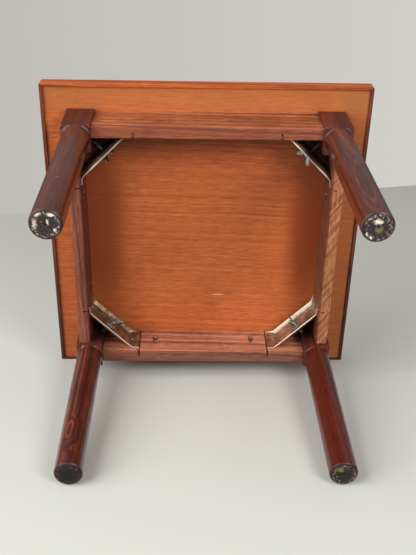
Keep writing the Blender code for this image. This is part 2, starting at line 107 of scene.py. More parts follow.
# Screws: shank's radius, length, head's radius and dome
TAB_SCREW_PLACE = 0.080
TAB_SCREW = (0.00175, 0.016, 0.0035, 0.0024)
TOP_SCREW_PLACE = 0.127
POCKET_DROP = 0.021
POCKET_DEPTH = 0.004
POCKET_SLANT = math.radians(18)
TOP_SCREW_COVER = 0.0065
TOP_SCREW_LENGTH = (POCKET_DROP + PANEL - TOP_SCREW_COVER) / math.cos(POCKET_SLANT)
TOP_SCREW = (0.002, TOP_SCREW_LENGTH, 0.004, 0.003)

SIDES = ("front", "right", "back", "left")
CORNERS = ("front_right", "back_right", "back_left", "front_left")
NUT_TURNS = (-52, -5, 103, 23)

# Where the photograph shows marks, found on the surfaces through its camera
SWIRL = (-0.2284, 0.2038, 0.083)
SWIRL_FOOT = (-0.2310, 0.2038, 0.046)
ARCHES = (0.2250, -0.2500, 0.100)
KNOT = (0.2243, 0.2041, 0.193)
NICK = (-0.2254, -0.2521, 0.112)
SCRATCH = (0.0300, 0.1370, UNDERSIDE)
DARK_DOT = (-0.1043, 0.2070, UNDERSIDE)
PALE, PAINT = "E8DCCB", "7E8246"
FOOT_MARKS = (
    ((-0.2400, -0.2450, 0), (0.0075, 0.0055, 0.01), PALE, 0.95),
    ((-0.2190, -0.2430, 0), (0.0085, 0.0032, 0.01), PALE, 1.0),
    ((-0.2250, -0.2325, 0), (0.0020, 0.0055, 0.01), PALE, 1.0),
    ((-0.2159, -0.2203, 0), (0.0034, 0.0034, 0.01), PALE, 1.0),
    ((-0.2430, -0.2290, 0), (0.0040, 0.0110, 0.01), PALE, 0.55),
    ((0.2272, -0.2368, 0), (0.0095, 0.0045, 0.01), PALE, 1.0),
    ((0.2292, -0.2245, 0), (0.0075, 0.0085, 0.01), PAINT, 0.6),
    ((0.2195, -0.2116, 0), (0.0026, 0.0026, 0.01), PALE, 1.0),
    ((0.2127, -0.2158, 0), (0.0022, 0.0060, 0.01), PALE, 0.8),
    ((0.2210, 0.2179, 0), (0.0080, 0.0065, 0.01), PAINT, 0.85),
    ((-0.2280, 0.2280, 0), (0.0400, 0.0400, 0.01), "2A2425", 0.88),
    ((-0.2388, 0.2470, 0), (0.0040, 0.0022, 0.01), PALE, 0.4),
)

# The floor's run in Y for each metre of height, and where the lights look
FLOOR_SLOPE = 0.048 / (UNDERSIDE + PANEL)
LIGHT_AIM = Vector((0, 0, 0.35))
# The photograph's camera: focal length and height in pixels, place and axes
FOCAL, PHOTO_HEIGHT = 803.298, 555
SENSOR = 36
EYE = (-0.03756, -0.71359, -0.98690)
RIGHT = Vector((0.99958, -0.01962, -0.02147))
DOWN = Vector((0.00633, 0.86725, -0.49783))
AHEAD = Vector((0.02839, 0.49749, 0.86701))


def linear(hex_colour):
    """Linear light of an sRGB hex colour, with full alpha."""
    srgb = np.array([int(hex_colour[place : place + 2], 16) for place in (0, 2, 4)]) / 255
    light = np.where(srgb <= 0.04045, srgb / 12.92, ((srgb + 0.055) / 1.055) ** 2.4)
    return (*light, 1.0)


def add(tree, kind, inputs, stops=(), **settings):
    """Adds a node.

    Inputs go by their socket's name or place, and each is a value or the socket
    that feeds it. The stops of a colour ramp are places and hex colours, from
    low to high.
    """
    made = tree.nodes.new("ShaderNode" + kind)
    for key, value in settings.items():
        setattr(made, key, value)
    for place, (at, colour) in enumerate(stops):
        ramp = made.color_ramp.elements
        element = ramp[place] if place < 2 else ramp.new(at)
        element.position = at
        element.color = linear(colour)
    for key, value in inputs.items():
        if isinstance(value, bpy.types.NodeSocket):
            tree.links.new(value, made.inputs[key])
        else:
            made.inputs[key].default_value = value
    return made


def new_finish(name, **constants):
    """A material with one Principled shader, whose constants sit on its own sockets."""
    made = bpy.data.materials.new(name)
    made.use_nodes = True
    tree = made.node_tree
    shader = tree.nodes["Principled BSDF"]
    for key, value in constants.items():
        shader.inputs[key.replace("_", " ")].default_value = value
    return made, tree, shader


def with_marks(tree, place, colour, marks):
    """The colour with local marks over it, and the sum of how far they bend the grain.

    A mark is a place, its three reaches, its tint, its strength and its bend. It
    fades as the distance from its place, counted in reaches, goes from 0.3 to 1.
    """
    bends = 0.0
    for spot, size, tint, strength, bend in marks:
        away = add(tree, "VectorMath", {0: place, 1: spot}, operation="SUBTRACT")
        away = add(
            tree, "VectorMath", {0: away.outputs[0], 1: [1 / reach for reach in size]},
            operation="MULTIPLY",
        )
        away = add(tree, "VectorMath", {0: away.outputs[0]}, operation="LENGTH")
        near = add(
            tree, "MapRange",
            {
                "Value": away.outputs["Value"], "From Min": 0.3, "From Max": 1.0,
                "To Min": 1.0, "To Max": 0.0,
            },
            interpolation_type="SMOOTHSTEP",
        ).outputs[0]
        if bend:
            bends = add(
                tree, "Math", {0: near, 1: bend, 2: bends}, operation="MULTIPLY_ADD"
            ).outputs[0]
        if strength:
            share = add(tree, "Math", {0: near, 1: strength}, operation="MULTIPLY").outputs[0]
            colour = add(
                tree, "Mix", {0: share, 6: colour, 7: linear(tint)}, data_type="RGBA"
            ).outputs[2]
    return colour, bends


def timber(
    name, grain, tones, pith, layer, waver,
    lean=0.03, fibre=0.25, sheen=0.42, coat=0.0, bends=(), marks=(),
):
    """Open-grained hardwood, sawn or turned and then oiled.

    Growth layers are rings about the pith, a line along the grain. The distance
    from it, moved by a slow noise, by the lean along the grain and by knots,
    drives a noise of one dimension. The eye gets parallel lines where a face
    crosses the layers and arches where it runs along them, with fine fibres,
    short dark pores and slow patches over them.

    grain is the axis it runs along and tones go from dark to light. layer is
    one layer's thickness, waver how far the layers wander and lean how fast they
    shift along the grain. fibre is the fibres' share of the tone.
    """
    made, tree, shader = new_finish(name, IOR=1.46, Coat_Weight=coat, Coat_Roughness=0.16)
    place = add(tree, "TexCoord", {}).outputs["Object"]
    along = [float(axis == grain) for axis in "XYZ"]
    across = [1.0 - share for share in along]
    offset = add(tree, "VectorMath", {0: place, 1: pith}, operation="SUBTRACT")
    offset = add(tree, "VectorMath", {0: offset.outputs[0], 1: across}, operation="MULTIPLY")
    ring = add(tree, "VectorMath", {0: offset.outputs[0]}, operation="LENGTH").outputs["Value"]
    run = add(
        tree, "VectorMath", {0: place, 1: [share * lean for share in along]}, operation="DOT_PRODUCT"
    ).outputs["Value"]
    drift_scales = [4.0 if share else 17.0 for share in along]
    drift_place = add(tree, "Mapping", {"Vector": place, "Location": pith, "Scale": drift_scales})
    drift = add(tree, "TexNoise", {"Vector": drift_place.outputs[0], "Scale": 1.0, "Detail": 2.0})
    depth = add(
        tree, "Math", {0: drift.outputs[0], 1: 2 * waver, 2: ring}, operation="MULTIPLY_ADD"
    )
    depth = add(tree, "Math", {0: depth.outputs[0], 1: run}, operation="ADD")
    if bends:
        bent = with_marks(tree, place, None, bends)[1]
        depth = add(tree, "Math", {0: depth.outputs[0], 1: bent}, operation="ADD")
    layers = add(
        tree, "TexNoise",
        {"W": depth.outputs[0], "Scale": 0.14 / layer, "Detail": 5.0, "Roughness": 0.8},
        noise_dimensions="1D",
    )
    # Real fibres and pores are at most 0.2 mm wide. To show, fibres are drawn as
    # 2 mm by 31 mm and pores as 1.6 mm by 14 mm
    fibre_scales = [32.0 if share else 500.0 for share in along]
    fibre_place = add(tree, "Mapping", {"Vector": place, "Scale": fibre_scales})
    fibres = add(tree, "TexNoise", {"Vector": fibre_place.outputs[0], "Scale": 1.0, "Detail": 3.0})
    patches = add(tree, "TexNoise", {"Vector": place, "Scale": 9.0, "Detail": 2.0})
    tone = add(tree, "Math", {0: layers.outputs[0], 1: 0.85 - fibre}, operation="MULTIPLY")
    for part, share in ((fibres, fibre), (patches, 0.15)):
        tone = add(
            tree, "Math", {0: part.outputs[0], 1: share, 2: tone.outputs[0]},
            operation="MULTIPLY_ADD",
        )
    wood = add(
        tree, "ValToRGB", {0: tone.outputs[0]},
        stops=list(zip((0.36, 0.46, 0.53, 0.64), tones)),
    )
    pore_scales = [70.0 if share else 620.0 for share in along]
    pore_place = add(tree, "Mapping", {"Vector": place, "Scale": pore_scales})
    pores = add(tree, "TexNoise", {"Vector": pore_place.outputs[0], "Scale": 1.0, "Detail": 1.0})
    pore_mask = add(
        tree, "MapRange",
        {
            "Value": pores.outputs[0], "From Min": 0.57, "From Max": 0.68,
            "To Min": 0.0, "To Max": 0.55,
        },
    )
    colour = add(
        tree, "Mix", {0: pore_mask.outputs[0], 6: wood.outputs[0], 7: linear(tones[0])},
        data_type="RGBA",
    ).outputs[2]
    colour = with_marks(tree, place, colour, marks)[0]
    rough = add(
        tree, "MapRange",
        {
            "Value": tone.outputs[0], "From Min": 0.35, "From Max": 0.65,
            "To Min": sheen + 0.08, "To Max": sheen - 0.05,
        },
    )
    height = add(
        tree, "Math", {0: pore_mask.outputs[0], 1: -0.6, 2: fibres.outputs[0]},
        operation="MULTIPLY_ADD",
    )
    bump = add(tree, "Bump", {"Strength": 0.2, "Distance": 0.0004, "Height": height.outputs[0]})
    tree.links.new(colour, shader.inputs["Base Color"])
    tree.links.new(rough.outputs[0], shader.inputs["Roughness"])
    tree.links.new(bump.outputs[0], shader.inputs["Normal"])
    return made


def end_grain(name, marks):
    """Sawn end grain of a dark foot, dirty from floors and chipped at its rim.

    The eye gets near-black wood with a fine pale fleck, denser near the rim,
    a few chips down to pale wood and specks of old paint.
    """
    made, tree, shader = new_finish(name, IOR=1.46)
    place = add(tree, "TexCoord", {}).outputs["Object"]
    grit = add(tree, "TexNoise", {"Vector": place, "Scale": 420.0, "Detail": 4.0, "Roughness": 0.7})
    wood = add(
        tree, "ValToRGB", {0: grit.outputs[0]},
        stops=((0.38, "1B1616"), (0.50, "332B2A"), (0.58, "423837"), (0.72, "5C504A")),
    )
    folded = add(tree, "VectorMath", {0: place}, operation="ABSOLUTE")
    folded = add(
        tree, "VectorMath", {0: folded.outputs[0], 1: (BLOCK_MIDDLE, BLOCK_MIDDLE, 0)},
        operation="SUBTRACT",
    )
    reach = add(tree, "VectorMath", {0: folded.outputs[0]}, operation="LENGTH")
    rim = add(
        tree, "MapRange",
        {
            "Value": reach.outputs["Value"], "From Min": 0.010, "From Max": 0.020,
            "To Min": 0.0, "To Max": 0.16,
        },
    )
    chips = add(tree, "TexNoise", {"Vector": place, "Scale": 260.0, "Detail": 3.0, "Roughness": 0.6})
    chips = add(tree, "Math", {0: chips.outputs[0], 1: rim.outputs[0]}, operation="ADD")
    fleck = add(
        tree, "MapRange",
        {
            "Value": chips.outputs[0], "From Min": 0.64, "From Max": 0.74,
            "To Min": 0.0, "To Max": 0.75,
        },
    )
    colour = add(
        tree, "Mix", {0: fleck.outputs[0], 6: wood.outputs[0], 7: linear("B5A491")}, data_type="RGBA"
    ).outputs[2]
    torn = add(tree, "TexNoise", {"Vector": place, "Scale": 300.0, "Detail": 3.0, "Roughness": 0.6})
    torn = add(
        tree, "VectorMath", {0: torn.outputs["Color"], 1: (0.5, 0.5, 0.5)}, operation="SUBTRACT"
    )
    torn = add(
        tree, "VectorMath", {0: torn.outputs[0], 1: (0.009, 0.009, 0.0), 2: place},
        operation="MULTIPLY_ADD",
    )
    colour = with_marks(tree, torn.outputs[0], colour, marks)[0]
    rough = add(
        tree, "MapRange",
        {
            "Value": grit.outputs[0], "From Min": 0.4, "From Max": 0.7,
            "To Min": 0.7, "To Max": 0.5,
        },
    )
    bump = add(tree, "Bump", {"Strength": 0.4, "Distance": 0.0003, "Height": chips.outputs[0]})
    tree.links.new(colour, shader.inputs["Base Color"])
    tree.links.new(rough.outputs[0], shader.inputs["Roughness"])
    tree.links.new(bump.outputs[0], shader.inputs["Normal"])
    return made


def plated_steel(name, tones, rough, grit, metallic=1.0, marks=()):
    """Zinc-plated or bare rolled steel, dulled by age.

    The eye gets a soft metal sheen with cloudy patches of tarnish and specks
    of dirt. grit is the size of the clouds in metres, and metallic is under one
    where tarnish or dirt covers the metal.
    """
    made, tree, shader = new_finish(name, Metallic=metallic)
    place = add(tree, "TexCoord", {}).outputs["Object"]
    clouds = add(
        tree, "TexNoise",
        {"Vector": place, "Scale": 1 / grit, "Detail": 5.0, "Roughness": 0.65},
    )
    specks = add(
        tree, "TexNoise", {"Vector": place, "Scale": 6 / grit, "Detail": 2.0, "Roughness": 0.6}
    )
    tone = add(
        tree, "Math", {0: specks.outputs[0], 1: 0.4, 2: clouds.outputs[0]}, operation="MULTIPLY_ADD"
    )
    colour = add(
        tree, "ValToRGB", {0: tone.outputs[0]},
        stops=list(zip((0.52, 0.70, 0.86), tones)),
    )
    colour = with_marks(tree, place, colour.outputs[0], marks)[0]
    gloss = add(
        tree, "MapRange",
        {
            "Value": tone.outputs[0], "From Min": 0.5, "From Max": 0.9,
            "To Min": rough + 0.14, "To Max": rough - 0.06,
        },
    )
    bump = add(
        tree, "Bump", {"Strength": 0.2, "Distance": 0.0002, "Height": specks.outputs[0]}
    )
    tree.links.new(colour, shader.inputs["Base Color"])
    tree.links.new(gloss.outputs[0], shader.inputs["Roughness"])
    tree.links.new(bump.outputs[0], shader.inputs["Normal"])
    return made


def mesh_of(name, grids):
    """One mesh from grids of points, each closed round its columns.

    A row whose points all meet is a pole. Neighbouring points in the grid make
    a face, points that meet are merged, and the normals are turned outwards.
    """
    bm = bmesh.new()
    for grid in grids:
        rows, columns = grid.shape[:2]
        index = np.arange(rows * columns).reshape(rows, columns)
        after = np.roll(index, -1, axis=1)
        faces = np.stack((index[:-1], after[:-1], after[1:], index[1:]), axis=-1).reshape(-1, 4)
        mesh = bpy.data.meshes.new(name)
        mesh.from_pydata(grid.reshape(-1, 3).tolist(), [], faces.tolist())
        shell = bmesh.new()
        shell.from_mesh(mesh)
        bmesh.ops.remove_doubles(shell, verts=shell.verts, dist=1e-7)
        bmesh.ops.recalc_face_normals(shell, faces=shell.faces)
        shell.to_mesh(mesh)
        shell.free()
        bm.from_mesh(mesh)
        bpy.data.meshes.remove(mesh)
    made = bpy.data.meshes.new(name)
    bm.to_mesh(made)
    bm.free()
    made.shade_smooth()
    return made


def fit_piece(name, mesh, finish, node):
    """Puts in a new piece that stands for one node and rides on that node's body."""
    piece = bpy.data.objects.new(name, mesh)
    bpy.context.scene.collection.objects.link(piece)
    mesh.materials.clear()
    mesh.materials.append(finish)
    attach(piece, frame["nodes"][node]["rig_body"])
    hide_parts(node)


def corner_frame(place):
    """Origin at the rails' inner corner at bolt height, and axes as columns.

    The first axis runs to the table's centre and the last one up.
    """
    heading = (place + 1.5) * math.pi / 2
    ahead = np.array((math.cos(heading), math.sin(heading), 0.0))
    up = np.array((0.0, 0.0, 1.0))
    origin = -ahead * RAIL_INNER * math.sqrt(2) + up * BOLT_HEIGHT
    return origin, np.stack((ahead, np.cross(up, ahead), up), axis=1)


def bolt_frame(place, turn=0.0):
    """Origin as corner_frame, with the last axis along the bolt to the centre."""
    origin, axes = corner_frame(place)
    along = np.stack((-axes[:, 2], axes[:, 1], axes[:, 0]), axis=1)
    c, s = math.cos(turn), math.sin(turn)
    return origin, along @ np.array(((c, -s, 0), (s, c, 0), (0, 0, 1)))


def placed(points, origin, axes):
    """Points given on three axes, moved to their place."""
    return points @ axes.T + origin


def revolved(profile, columns=48):
    """Radius and height pairs turned round the last axis, as a grid."""
    profile = np.asarray(profile, float)
    angle = np.linspace(0, 2 * math.pi, columns, endpoint=False)
    radius, height = profile[:, :1], profile[:, 1:]
    return np.stack(
        (radius * np.cos(angle), radius * np.sin(angle), height + 0 * angle), axis=-1
    )


def bend(start, corner, end, radius, steps=8):
    """The arc of this radius that rounds the corner between two straight runs."""
    start, corner, end = (np.asarray(p, float) for p in (start, corner, end))
    back = (start - corner) / np.linalg.norm(start - corner)
    ahead = (end - corner) / np.linalg.norm(end - corner)
    half = math.acos(np.clip(back @ ahead, -1, 1)) / 2
    middle = back + ahead
    centre = corner + middle / np.linalg.norm(middle) * radius / math.sin(half)
    first = corner + back * radius / math.tan(half) - centre
    last = corner + ahead * radius / math.tan(half) - centre
    begin = math.atan2(first[1], first[0])
    sweep = math.remainder(math.atan2(last[1], last[0]) - begin, 2 * math.pi)
    angle = begin + sweep * np.linspace(0, 1, steps + 1)
    return centre + radius * np.stack((np.cos(angle), np.sin(angle)), axis=1)


def leg_surface(place):
    """A turned leg with a square head.

    Round the leg, the head's reach at an angle is that of a square with rounded
    corners. Up the leg, the lathe's reach is the foot, a slight taper, then a
    hollow and a round out past the square. The surface is the smaller of both,
    blended over a quarter of a millimetre.
    """
    t = np.linspace(0, 2 * math.pi, 240, endpoint=False)
    angle = t + 0.19 * np.sin(4 * t)
    fold = np.abs((angle + math.pi / 4) % (math.pi / 2) - math.pi / 4)
    flat = BLOCK_HALF / np.cos(fold)
    core = BLOCK_HALF - BLOCK_EASE
    inside = np.maximum(BLOCK_EASE**2 - (core * (np.cos(fold) - np.sin(fold))) ** 2, 0)
    eased = core * (np.cos(fold) + np.sin(fold)) + np.sqrt(inside)
    square = np.where(np.tan(fold) < core / BLOCK_HALF, flat, eased)
    full = BLOCK_HALF * math.sqrt(2)
    chamfer = bend((FOOT - 0.003, 0), (FOOT, 0.003), (FOOT, 0.1), 0.002, 4)
    quarter = np.linspace(0, math.pi / 2, 22)
    size = np.array((full - SHAFT, SHOULDER_TOP - SHOULDER_LOW))
    hollow = np.stack((0.5 - 0.5 * np.cos(quarter), 0.5 * np.sin(quarter)), axis=1)
    rounded = np.stack((0.5 + 0.5 * np.sin(quarter), 1 - 0.5 * np.cos(quarter)), axis=1)
    taper = np.linspace(0, 1, 40)[1:-1]
    profile = np.concatenate((
        [(0, 0.004), (0.0006, 0.0036), (0.0025, 0.0), (0.0030, 0.0), (0.012, 0.0)],
        [(FOOT - 0.0040, 0), (FOOT - 0.0031, 0.0001)],
        chamfer,
        np.stack((FOOT + (SHAFT - FOOT) * taper, 0.006 + (SHOULDER_LOW - 0.006) * taper), axis=1),
        np.array((SHAFT, SHOULDER_LOW)) + size * np.concatenate((hollow, rounded[1:])),
        [(full + 0.002, SHOULDER_TOP + 0.0008), (full + 0.004, SHOULDER_TOP + 0.002)],
        [(full + 0.004, SHOULDER_TOP + 0.004), (full + 0.004, UNDERSIDE - GAP - 0.0004)],
    ))
    reach, rise = profile[:, :1], profile[:, 1:]
    soft = 0.00022
    nearest = np.minimum(reach, square)
    blend = nearest - soft * np.log(
        np.exp(-(reach - nearest) / soft) + np.exp(-(square - nearest) / soft)
    )
    radius = np.where(reach < FOOT - 0.002, reach, blend)
    ends = np.stack((square - 0.0005, 0 * square))
    radius = np.concatenate((radius, ends))
    rise = np.concatenate((rise, np.full((2, 1), UNDERSIDE - GAP)))
    middle = np.sign(corner_frame(place)[0][:2]) * BLOCK_MIDDLE
    x, y = radius * np.cos(angle) + middle[0], radius * np.sin(angle) + middle[1]
    return np.stack((x, y, rise + 0 * angle), axis=-1)


def bracket_surface():
    """Middle surface of the pressed bracket, as a grid from hook to hook.

    In plan it follows the web, the tab and the hook, with round bends. Above
    and below the folds it leans towards the table's centre by a soft ramp of
    the height past the fold, less and less along the tabs.
    """
    along, off = np.array((1, 1)) / math.sqrt(2), np.array((1, -1)) / math.sqrt(2)
    hook = HOOK + GAP + SHEET / 2
    ridge, heel = along * RIDGE + off * TAB_LIFT, along * hook + off * TAB_LIFT
    tip = along * hook - off * HOOK_DEPTH
    first = bend((WEB, 0), ridge, heel, RIDGE_BEND, 8)
    second = bend(ridge, heel, tip, HOOK_BEND, 8)
    web = np.linspace((WEB, 0.0), first[0], 14)[:-1]
    tab = np.linspace(first[-1], second[0], 14)[1:-1]
    half = np.concatenate((web, first, tab, second, np.linspace(second[-1], tip, 4)[1:]))
    plan = np.concatenate((half[:0:-1] * (1, -1), half))
    share = np.maximum.accumulate((half[:, 0] - WEB) / (half[:, 0].max() - WEB))
    share = np.concatenate((share[:0:-1], share))[:, None]
    level = np.linspace(-1, 1, 61)
    height = BRACKET_HALF * np.sign(level) * np.abs(level) ** 0.6
    fold = WEB_HALF + (BRACKET_HALF * 0.95 - WEB_HALF) * share
    x, y = plan[:, :1], plan[:, 1:]
    lean = np.where(
        height < 0, np.maximum(WEB + FLANGE_REACH - x, 0), FLANGE_REACH * (1 - share)
    )
    soft = 0.0006
    ramp = soft * np.log1p(np.exp((np.abs(height) - fold) / soft)) / (BRACKET_HALF - fold)
    return np.stack((x + lean * ramp, y + 0 * ramp, height + 0 * ramp), axis=-1)


def bracket_mesh(place):
    """The bracket's sheet at its thickness, with eased rims and its three holes."""
    grid = placed(bracket_surface(), *corner_frame(place))
    rows, columns = grid.shape[:2]
    index = np.arange(rows * columns).reshape(rows, columns)
    faces = np.stack((index[:-1, :-1], index[1:, :-1], index[1:, 1:], index[:-1, 1:]), axis=-1)
    mesh = bpy.data.meshes.new("bracket")
    mesh.from_pydata(grid.reshape(-1, 3).tolist(), [], faces.reshape(-1, 4).tolist())
    sheet = bpy.data.objects.new("sheet", mesh)
    bpy.context.scene.collection.objects.link(sheet)
    solid = sheet.modifiers.new("solid", "SOLIDIFY")
    solid.thickness, solid.offset, solid.use_even_offset = SHEET, 0, True
    rim = sheet.modifiers.new("rim", "BEVEL")
    rim.width, rim.segments, rim.limit_method, rim.angle_limit = 0.0003, 2, "ANGLE", 1.0
    origin, axes = corner_frame(place)
    drill_half = 0.004
    cutters = []
    for plan, radius in (((1.0, 0.0), BOLT_HOLE), ((1.0, 1.0), TAB_HOLE), ((1.0, -1.0), TAB_HOLE)):
        direction = np.array((*plan, 0.0)) / np.linalg.norm(plan)
        out = np.array((direction[1], -direction[0], 0.0)) * np.sign(plan[1])
        centre = direction * TAB_SCREW_PLACE + out * TAB_LIFT if plan[1] else np.array((WEB, 0, 0.0))
        out = out if plan[1] else direction
        side = np.cross((0, 0, 1.0), out)
        drill_axes = axes @ np.stack((side, (0, 0, 1.0), out), axis=1)
        barrel = revolved(
            [(0, -drill_half), (radius, -drill_half), (radius, drill_half), (0, drill_half)], 40
        )
        cutter = bpy.data.objects.new(
            "drill", mesh_of("drill", [placed(barrel, axes @ centre + origin, drill_axes)])
        )
        bpy.context.scene.collection.objects.link(cutter)
        cut = sheet.modifiers.new("hole", "BOOLEAN")
        cut.operation, cut.solver, cut.object = "DIFFERENCE", "EXACT", cutter
        cutters.append(cutter)
    graph = bpy.context.evaluated_depsgraph_get()
    made = bpy.data.meshes.new_from_object(sheet.evaluated_get(graph), depsgraph=graph)
    for item in (sheet, *cutters):
        bpy.data.objects.remove(item)
    made.shade_smooth()
    made.set_sharp_from_angle(angle=math.radians(50))
    return made


def bolt_surface():
    """Hanger bolt: taper in the leg, then a thread to a chamfered end.

    The thread's radius is a triangle wave of the height less the turn's share
    of one pitch, faded out over the last turn and under the end's chamfer.
    """
    start = (RAIL_INNER - BLOCK_OUTER + 2 * BLOCK_HALF) * math.sqrt(2)
    end = WEB + SHEET / 2 + BOLT_PROJECTION
    tip = start - BOLT_GRIP
    turn = np.linspace(0, 2 * math.pi, 28, endpoint=False)
    height = np.concatenate((
        [tip, tip, start - 0.028], np.arange(start - 0.006, end, PITCH / 9), [end],
    ))[:, None]
    wave = np.abs((height / PITCH - turn / (2 * math.pi)) % 1 * 2 - 1)
    thread = 0.0024 + 0.00058 * np.clip(1.25 * wave, 0, 1)
    cap = 0.0022 + (end - height) * 1.2
    radius = np.minimum(np.where(height < start - 0.004, 0.0027, thread), cap)
    radius[:2] = 0.0
    radius[1] = 0.001
    tail = np.zeros((1, turn.size))
    radius = np.concatenate((radius, tail))
    height = np.concatenate((height, height[-1:]))
    return np.stack((radius * np.cos(turn), radius * np.sin(turn), height + 0 * turn), axis=-1)


def washer_surface():
    """A stamped ring: one face rolled over by the punch, the other left sharp."""
    outer, thick = WASHER_RADIUS, WASHER_THICKNESS
    ring = [
        (BORE + 0.0002, 0), (outer - 0.0002, 0), (outer, 0.0002), (outer, thick - 0.0005),
        (outer - 0.0001, thick - 0.0002), (outer - 0.0004, thick - 0.00005),
        (outer - 0.0009, thick), (BORE + 0.0004, thick), (BORE + 0.0001, thick - 0.0001),
        (BORE, thick - 0.0004), (BORE, 0.0002), (BORE + 0.0002, 0),
    ]
    return placed(revolved(ring, 64), np.array((0, 0, WASHER_SEAT)), np.eye(3))


def wing_surface(hand):
    """One wing of the nut.

    A rounded slab swept from inside the boss out to the lobe: at each place its
    half width and half thickness set a flattened ring round the middle line,
    and past the lobe's centre the width closes as a circle does.
    """
    root, lobe = np.array((0.0040, 0.0050)), np.array((0.01315, 0.0147))
    run = lobe - root
    ahead = run / np.linalg.norm(run)
    side = np.array((-ahead[1], ahead[0]))
    t = np.linspace(0, 1, 14)[:, None]
    close = np.linspace(0, math.pi / 2, 12)[1:, None]
    middle = np.concatenate((root + run * t, lobe + ahead * LOBE * np.sin(close)))
    wide = np.concatenate((LOBE - 0.0010 + 0.0010 * t**2, LOBE * np.cos(close)))
    thick = np.concatenate((0.0022 - 0.0008 * t, 0.0014 * np.cos(close) ** 0.45))
    ring = np.linspace(0, 2 * math.pi, 32, endpoint=False)
    c, s = np.cos(ring), np.sin(ring)
    across = wide * np.sign(c) * np.abs(c) ** 0.7
    depth = thick * np.sign(s) * np.abs(s) ** 0.7
    radial = middle[:, :1] + side[0] * across
    height = middle[:, 1:] + side[1] * across
    grid = np.stack((hand * radial, hand * depth, height), axis=-1)
    cap = np.broadcast_to(np.array((hand * root[0], 0, root[1])), (1, 32, 3))
    return np.concatenate((cap, grid))


def nut_grids():
    """Boss with a flange-like foot and a countersunk bore, and two wings."""
    boss = [
        (BORE, 0.0004), (0.0037, 0.0), (0.0068, 0.0), (0.0070, 0.0002), (0.0070, 0.0011),
        (0.0068, 0.0015), (0.0065, 0.0025), (0.0060, 0.0070), (0.0057, 0.0089), (0.0054, 0.0094),
        (0.0049, 0.0095), (0.0042, 0.0095), (BORE, 0.0087), (BORE, 0.0004),
    ]
    lift = np.array((0, 0, NUT_SEAT))
    parts = (revolved(boss), wing_surface(1), wing_surface(-1))
    return [placed(grid, lift, np.eye(3)) for grid in parts]


def screw_surface(radius, length, head, dome, slot_turn):
    """A round-headed screw, head below zero and shank above it.

    The head's depth is a circle's, less a groove wherever a point is nearer
    than the slot's half width to the slot's line. The shank is threaded.
    """
    slot_half, slot_edge, pitch = 0.00055, 0.00012, 0.0014
    turn = np.linspace(0, 2 * math.pi, 64, endpoint=False)
    reach = np.concatenate((np.linspace(0, 0.97, 22), [0.99, 1.0]))[:, None] * head
    depth = -dome * np.sqrt(np.maximum(1 - (reach / head) ** 2, 0)) ** 0.9
    across = np.abs(reach * np.sin(turn - slot_turn))
    groove = np.clip((slot_half - across) / slot_edge, 0, 1)
    bottom = -dome * 0.45
    depth = np.where(groove > 0, depth + (np.maximum(bottom, depth) - depth) * groove, depth)
    point = length - 0.004
    height = np.concatenate(([0.0002], np.arange(0.0004, point, 0.0003), [point, length]))[:, None]
    wave = np.abs((height / pitch - turn / (2 * math.pi)) % 1 * 2 - 1)
    shank = radius * (0.78 + 0.2 * wave)
    shank[-1] = radius * 0.15
    flat = np.zeros((1, 64))
    radii = np.concatenate((reach + 0 * turn, flat + head * 0.98, shank, flat))
    rise = np.concatenate((depth + 0 * turn, flat, height + 0 * turn, flat + length))
    return np.stack((radii * np.cos(turn), radii * np.sin(turn), rise), axis=-1)


def side_frame(place, along, across, height, lean):
    """Origin and axes of a screw on one side, its shank leaning outwards by lean."""
    heading = place * math.pi / 2
    right = np.array((math.cos(heading), math.sin(heading), 0.0))
    inward = np.array((-math.sin(heading), math.cos(heading), 0.0))
    up = np.array((0.0, 0.0, 1.0))
    shank = up * math.cos(lean) - inward * math.sin(lean)
    back = inward * math.cos(lean) + up * math.sin(lean)
    return right * along + inward * across + up * height, np.stack((right, back, shank), axis=1)


def corner_shade(x, y):
    """Near-black painted shade, high up on the rails where two of them meet."""
    return ((x, y, UNDERSIDE - 0.02), (0.055, 0.055, 0.055), "120705", 0.9, 0)


def one_sided(name, colour, roughness):
    """Painted board, seen only from its front face, for the floor."""
    made, tree, shader = new_finish(name, Base_Color=linear(colour), Roughness=roughness)
    face = add(tree, "NewGeometry", {})
    clear = add(tree, "BsdfTransparent", {})
    mixed = add(
        tree, "MixShader", {0: face.outputs["Backfacing"], 1: shader.outputs[0], 2: clear.outputs[0]}
    )
    tree.links.new(mixed.outputs[0], tree.nodes["Material Output"].inputs[0])
    return made


def floor_board(name, corners, finish):
    """A flat stage piece that takes shadows but throws no shade or light itself."""
    mesh = bpy.data.meshes.new(name)
    mesh.from_pydata(corners, [], [(0, 1, 2, 3)])
    mesh.materials.append(finish)
    board = bpy.data.objects.new(name, mesh)
    bpy.context.scene.collection.objects.link(board)
    board.visible_shadow = board.visible_diffuse = board.visible_transmission = False


def on_floor(x, z):
    """A point on the floor, which touches the top's back edge and the back feet."""
    return (x, 0.2525 + FLOOR_SLOPE * z, z)


def soft_box(name, place, size, power):
    """A square soft light of a size in metres at a place, turned to the table."""
    data = bpy.data.lights.new(name, "AREA")
    data.size = size
    data.energy = power
    light = bpy.data.objects.new(name, data)
    bpy.context.scene.collection.objects.link(light)
    light.location = place
    light.rotation_euler = (LIGHT_AIM - Vector(place)).to_track_quat("-Z", "Y").to_euler()
